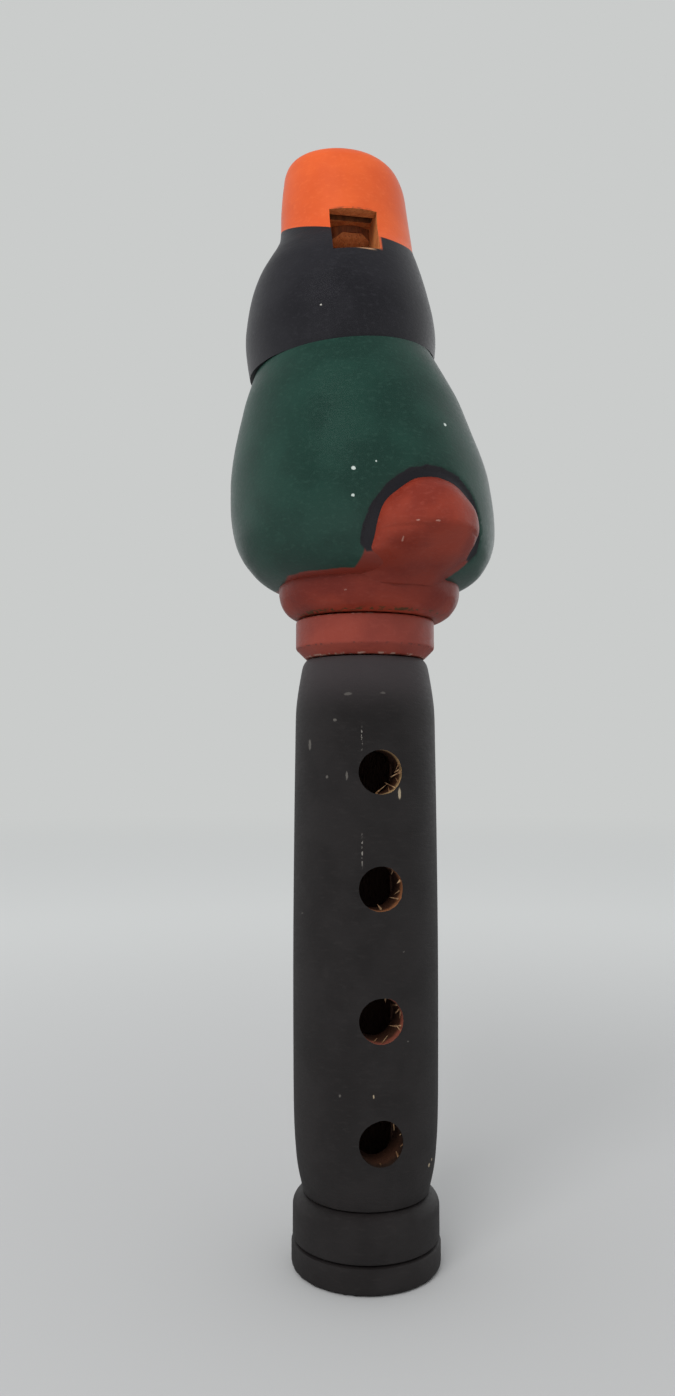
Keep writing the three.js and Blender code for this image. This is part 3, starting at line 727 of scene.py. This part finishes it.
# Tail knob. A rounded thumb of the same wood let into the body's back and the collar, brick red.
# Its carver left a soft ridge across it, below which it turns in towards the collar.
KNOB_HALF, KNOB_REACH, KNOB_TOP, KNOB_CORE, CORE_TOP = 9.9, 28.6, 20.8, 12.5, 30
KNOB_WAIST, WAIST_SPREAD, WAIST_SQUARE = .42, .14, .8
KNOB_THUMB = [
    (.2, .59, 1.08), (.27, .635, 1.06), (.34, .7, 1.04), (.42, .795, 1.02), (.5, .905, 1),
    (.56, .965, 1), (.6, .988, .99), (.65, .992, .98), (.72, .982, .95), (.79, .963, .885),
    (.86, .935, .78), (.92, .905, .64), (.965, .87, .46), (1, .83, .18),
]
knob_rings = []
for h, out_share, wide in flowing(KNOB_THUMB, 78):
    half = wide * KNOB_HALF
    square = 2 / (2 + WAIST_SQUARE * max(0, 1 - abs(h - KNOB_WAIST) / WAIST_SPREAD))
    points = []
    for x, y, z in ring(0, 0, JOINT + h * KNOB_TOP, 1, 128):
        across, out = (math.copysign(abs(v) ** square, v) * half for v in (x, -y))
        at = TAIL_SIDE * across + TAIL_WAY * (out_share * KNOB_REACH - half + out)
        points.append((at.x, at.y, z))
    knob_rings.append(points)
tail_knob = dressed(skinned("tail_knob", knob_rings, sharp=60), brick_red, raw_wood)
uneven(tail_knob, .3, 4.5, 2)
core_tool = skinned("core", [ring(0, 0, JOINT + z, KNOB_CORE, 96) for z in (-OVERRUN, CORE_TOP)])
cut(tail_knob, [core_tool], sharp=60)
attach(tail_knob, "bird")
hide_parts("tail_knob")

# Bird head. The blue-black upper egg, carved in one with the beak and painted up to the tilted
# colour line, with a plain dot of an eye on each side of the face.
HEAD_RADIUS, HEAD_HEIGHT, BEAK_RADIUS, BEAK_HEIGHT = 17.5, 25.0, 11.9, 15.3
BEAK_LINE = NECK_HEIGHT + HEAD_HEIGHT
HEAD_EGG = [
    (-.284, .88, 0), (-.068, .955, 0), (.18, 1, 0), (.356, .985, .003), (.532, .93, .01),
    (.676, .865, .003), (.78, .8, -.015), (.872, .738, -.033), (.96, .703, -.049),
]
BEAK_EGG = [
    (.111, 1.007, -.066), (.307, .988, -.047), (.51, .956, -.035), (.66, .912, -.013),
    (.764, .86, .02), (.85, .757, .07), (.906, .588, .1), (.935, .36, .12), (.945, .12, .13),
]
WINDOW_WIDTH, WINDOW_HEIGHT, WINDOW_DROP = 8.4, 8.0, 7.8
WINDOW_FOOT = BEAK_LINE - WINDOW_DROP
WINDOW_TOP = WINDOW_FOOT + WINDOW_HEIGHT
LEFT_SAG, RIGHT_SAG, LIP_BEVEL, LIP_DROP = 1.1, .2, 2.4, .7
WINDWAY_HALF, WINDWAY_FRONT, WINDWAY_BACK, WINDWAY_END, WINDWAY_MARGIN = .85, 8.7, 3.2, 202, .2
HEAD_BORE, SHADE_BEHIND = (JOINT + 30, JOINT + 95), 6.2
COLOUR_LINE_DROP, COLOUR_LINE_TILT = .45, (-6.5, 17)
EYE_HEIGHT, EYE_OUT, EYE_SPREAD, EYE_EDGE = 172.5, 16.2, math.radians(48), .06
EYE_DISCS = ((2.3, "#D8D2C2"), (1.3, "#151416"))
head_rows = [(d * HEAD_RADIUS, r * HEAD_RADIUS, NECK_HEIGHT + h * HEAD_HEIGHT)
             for h, r, d in HEAD_EGG]
head_rows += [(d * BEAK_RADIUS, r * BEAK_RADIUS, BEAK_LINE + h * BEAK_HEIGHT)
              for h, r, d in BEAK_EGG]

# Blue-black satin paint: nearly black with a cool sheen, an orange smear beside the window, a pale
# line painted along the lip below it as its highlight, and two eyes painted as a dark dot on an
# off-white one.
head_paint = Paint("blue_black_satin_paint", "#26252A", "#212025", "#343339", .42, (.6, .6, 1), .25)
tree = head_paint.tree
for radius, code in EYE_DISCS:
    for turn in (-EYE_SPREAD, EYE_SPREAD):
        eye = Matrix.Rotation(turn, 3, "Z") @ -TAIL_WAY * EYE_OUT
        eye += Vector((HEAD_SHIFT, HEAD_DEEP, EYE_HEIGHT))
        off = add(tree, "ShaderNodeVectorMath", head_paint.place, eye, operation="DISTANCE")
        head_paint.over(code, (off.outputs["Value"], radius + EYE_EDGE, radius - EYE_EDGE))
head_paint.over("#B9B6AE", head_paint.marks([((-10.76, -14.96, 164.22), (.16, .6, .16))]))
head_paint.over("#C9572A", head_paint.front(),
                head_paint.band(head_paint.x, HEAD_SHIFT + WINDOW_WIDTH / 2 + .1, .5),
                (head_paint.z, WINDOW_FOOT - .5, WINDOW_FOOT + .3))
# Painted highlight: a pale line along the window's lip.
head_paint.over("#B98B66", head_paint.front(), head_paint.band(head_paint.z, WINDOW_FOOT - .5, .3),
                head_paint.band(head_paint.x, HEAD_SHIFT + 1.4, 2.4))
head_black = head_paint.done()

# The same hardwood inside the duct, in two copies: painted paler at the window as painted light,
# and painted darker further in and on faces turned down as painted shade.
lit_duct_wood = raw_wood_finish("duct_wood_painted_light", "#D68A50", "#C27440")
shaded_duct_wood = raw_wood_finish("duct_wood_painted_shade", "#96582F", "#713F23")


def head_and_beak(name, *finishes):
    """The head and the beak as the one carved form that the colour line parts."""
    made = skinned(name, [ring(HEAD_SHIFT - drift, HEAD_DEEP, z, r, 200)
                          for drift, r, z in flowing(head_rows, 170)], sharp=50)
    return uneven(dressed(made, *finishes), .14, 8, 17)


def painted_shade_inside(made):
    """The bore and the windway behind the window take the darker copy of the duct wood, as painted
    shade.
    """
    made.data.materials.append(shaded_duct_wood)
    for face in made.data.polygons:
        at = face.center / MM
        in_painted_shade = at.z > WINDOW_TOP + .1 or at.y > HEAD_DEEP - SHADE_BEHIND
        if face.material_index == 1 and in_painted_shade:
            face.material_index = 2


def window_tool():
    """The window: straight sides, a flat top, and a ramp below that thins the wood to a lip."""
    outside, bore_wall, inside = HEAD_DEEP - 20, HEAD_DEEP - BORE, HEAD_DEEP + 4
    sides = []
    for side, low in ((-1, WINDOW_FOOT - LEFT_SAG), (1, WINDOW_FOOT - RIGHT_SAG)):
        under = low - LIP_BEVEL * LIP_DROP
        profile = [(outside, low), (bore_wall - LIP_BEVEL, low), (bore_wall, under),
                   (HEAD_DEEP - 2, under), (inside, low), (inside, WINDOW_TOP),
                   (outside, WINDOW_TOP)]
        sides.append([(HEAD_SHIFT + side * WINDOW_WIDTH / 2, y, z) for y, z in profile])
    return skinned("window", sides)


def windway_tool():
    """The flat slot that the breath takes, from the beak's end forward to the window's top."""
    half = WINDOW_WIDTH / 2 - WINDWAY_MARGIN
    low = Vector((HEAD_DEEP - WINDWAY_FRONT, WINDOW_TOP - .5))
    high = Vector((HEAD_DEEP - WINDWAY_BACK, WINDWAY_END))
    across = Vector((high.y - low.y, low.x - high.x)).normalized() * WINDWAY_HALF
    profile = [low - across, low + across, high + across, high - across]
    return skinned("windway", [[(HEAD_SHIFT + side * half, y, z) for y, z in profile]
                               for side in (-1, 1)])


beak_plane = (HEAD_SHIFT, HEAD_DEEP, BEAK_LINE - COLOUR_LINE_DROP)
beak_slope = tilted(*COLOUR_LINE_TILT)
bird_head = head_and_beak("bird_head", head_black, lit_duct_wood)
trimmed(bird_head, neck + NECK_GAP, -tilted(NECK_TILT, 0))
trimmed(bird_head, beak_plane, beak_slope)
cut(bird_head, [bore_tool(BORE, *HEAD_BORE), window_tool()])
painted_shade_inside(bird_head)
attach(bird_head, "bird")
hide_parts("bird_head")

# Beak mouthpiece. The orange end that is blown, carved in one with the head: rounded for the lips,
# bored for the plug, with the windway cut along the bore and the window across its lower edge.

# Orange satin paint: bright and even, with fine brush lines, painted darker in patches along the
# window's top as painted shade under its edge.
beak_paint = Paint("orange_satin_paint", "#E86024", "#DF5820", "#EF7338", .4, (.6, .6, 1), .2)
# Painted shade: a darker orange band, in patches, along the window's top edge.
beak_paint.over("#9C4424", beak_paint.band(beak_paint.z, WINDOW_TOP, .45), beak_paint.front(),
                beak_paint.band(beak_paint.x, HEAD_SHIFT, WINDOW_WIDTH / 2 + .6),
                beak_paint.patches(1.4, .4, .6))
orange = beak_paint.done()
beak_mouthpiece = head_and_beak("beak_mouthpiece", orange, lit_duct_wood)
trimmed(beak_mouthpiece, beak_plane, -beak_slope)
cut(beak_mouthpiece, [bore_tool(BORE, *HEAD_BORE), window_tool(), windway_tool()])
painted_shade_inside(beak_mouthpiece)
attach(beak_mouthpiece, "bird")
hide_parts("beak_mouthpiece")

# Fipple plug. The block of raw wood in the beak's bore, cut away along the windway, its lower end
# rounded off towards the window into a nose.
PLUG_DROP, PLUG_FIT, PLUG_TOP = 3.8, .02, JOINT + 90
PLUG_NOSE = ((-9, -1.2), (-6, -1.2), (-5.6, -1.9), (-4.8, -2.6), (-3.8, -3.2), (-2.6, -3.6),
             (-1.2, -PLUG_DROP), (-1.2, -5), (-9, -5))
nose_tool = skinned("nose", [[(HEAD_SHIFT + side * 8, HEAD_DEEP + y, WINDOW_TOP + z)
                              for y, z in PLUG_NOSE] for side in (-1, 1)])
fipple_plug = bore_tool(BORE - PLUG_FIT, WINDOW_TOP - PLUG_DROP, PLUG_TOP)
fipple_plug.name = "fipple_plug"
dressed(fipple_plug, lit_duct_wood, lit_duct_wood)
cut(fipple_plug, [head_and_beak("shape")], keep="INTERSECT")
cut(fipple_plug, [windway_tool(), nose_tool])
fipple_plug.data.materials.append(shaded_duct_wood)
# Faces turned down and those above the window take the darker copy as painted shade; the rest the
# paler copy as painted light.
for face in fipple_plug.data.polygons:
    in_painted_shade = face.normal.z < -.9 or face.center.z > (WINDOW_TOP + .3) * MM
    face.material_index = 2 if in_painted_shade else 0
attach(fipple_plug, "bird")
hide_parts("fipple_plug")

# Floor: a plain pale sheet that the whistle stands on, fading into the room's own paleness. Matt
# paper, painted a little darker round the whistle as painted shade, and painted greyer where the
# satin paints mirror it, as a painted reflection.
FLOOR_HALF = 30
PALER_FROM, PALER_WHOLE, FADE_FROM, FADE_WHOLE = 20.0, 500.0, 350.0, 2000.0
ROOM_PALE = linear("#CACCCB")
floor_mesh = bpy.data.meshes.new("floor")
floor_mesh.from_pydata([(x * FLOOR_HALF, y * FLOOR_HALF, 0)
                        for x, y in ((-1, -1), (1, -1), (1, 1), (-1, 1))], [], [(0, 1, 2, 3)])
floor = bpy.data.objects.new("floor", floor_mesh)
bpy.context.scene.collection.objects.link(floor)
pale_sheet, tree, floor_skin, floor_place = material("pale_paper_sheet", .9)
from_foot = add(tree, "ShaderNodeVectorMath", floor_place, operation="LENGTH").outputs["Value"]
kinds = add(tree, "ShaderNodeLightPath").outputs
# Painted shade: the sheet is darker near the whistle and paler further out; the grey is a painted
# reflection.
paper = layered(tree, linear("#BFBFBF"),
                (where(tree, (from_foot, PALER_FROM, PALER_WHOLE)), linear("#D6D7D6")),
                (kinds["Is Glossy Ray"], linear("#8C8C8C")))
tree.links.new(paper, floor_skin.inputs["Base Color"])
floor_skin.inputs["Specular IOR Level"].default_value = .2
far_glow = add(tree, "ShaderNodeEmission", Color=ROOM_PALE)
to_eye = add(tree, "ShaderNodeMath", kinds["Is Camera Ray"], kinds["Is Transmission Ray"],
             operation="MAXIMUM").outputs[0]
fading = where(tree, (from_foot, FADE_FROM, FADE_WHOLE), to_eye)
sheet_mix = add(tree, "ShaderNodeMixShader", fading, floor_skin.outputs[0], far_glow.outputs[0])
tree.links.new(sheet_mix.outputs[0], tree.nodes["Material Output"].inputs["Surface"])
dressed(floor, pale_sheet)

# Light: an even pale room, and one large soft lamp in front, above and to the left. The room's
# reflections are brightest from behind and from the right, and dim overhead: each row of the table
# is a direction's axis, where the change begins and ends along it, and its strength at both.
ROOM_LIGHT = linear("#F2F4F5")
GLEAM_BY_WAY = ((1, -.5, .7, .1, .9), (0, -.6, .7, .85, 1.7), (2, .05, .8, 1.0, .4))
world = bpy.data.worlds.new("pale_room")
bpy.context.scene.world = world
world.use_nodes = True
tree = world.node_tree
tree.nodes.clear()
paths = add(tree, "ShaderNodeLightPath").outputs
way = add(tree, "ShaderNodeTexCoord").outputs["Generated"]
way = add(tree, "ShaderNodeSeparateXYZ", Vector=way).outputs
gleam = where(tree, *[
    add(tree, "ShaderNodeMapRange", Value=way[axis], From_Min=low, From_Max=high, To_Min=at_low,
        To_Max=at_high).outputs["Result"]
    for axis, low, high, at_low, at_high in GLEAM_BY_WAY])
seen = add(tree, "ShaderNodeBackground", Color=ROOM_PALE, Strength=1.0)
even = add(tree, "ShaderNodeBackground", Color=ROOM_LIGHT, Strength=.9)
mirrored = add(tree, "ShaderNodeBackground", Color=ROOM_LIGHT, Strength=gleam)
lit = add(tree, "ShaderNodeMixShader", paths["Is Glossy Ray"], even.outputs[0], mirrored.outputs[0])
to_eye = add(tree, "ShaderNodeMath", paths["Is Camera Ray"], paths["Is Transmission Ray"],
             operation="MAXIMUM").outputs[0]
mixed = add(tree, "ShaderNodeMixShader", to_eye, lit.outputs[0], seen.outputs[0])
add(tree, "ShaderNodeOutputWorld", Surface=mixed.outputs[0])
lamp = bpy.data.lights.new("window_light", "AREA")
lamp.shape, lamp.size, lamp.size_y, lamp.energy = "RECTANGLE", .5, .5, 4.6
window_light = bpy.data.objects.new("window_light", lamp)
bpy.context.scene.collection.objects.link(window_light)
window_light.location = (-.46, -.64, .78)
window_light.rotation_euler = (Vector((0, 0, .1)) - window_light.location).to_track_quat(
    "-Z", "Y").to_euler()
window_light.visible_glossy = False

# Camera: level with the upper finger hole, close, a little to the left of the window's side. Its
# focal length is 1060 of the 1396 pixels that the frame is high.
camera = bpy.data.objects.new("camera", bpy.data.cameras.new("camera"))
bpy.context.scene.collection.objects.link(camera)
camera.location = (-.0404, -.1870, .0852)
camera.rotation_euler = (math.radians(94), 0, math.radians(-10.7))
camera.data.sensor_width, camera.data.lens = 36, 36 * 1060 / 1396
camera.data.clip_start = .01
bpy.context.scene.camera = camera
bpy.context.scene.view_settings.view_transform = "Standard"
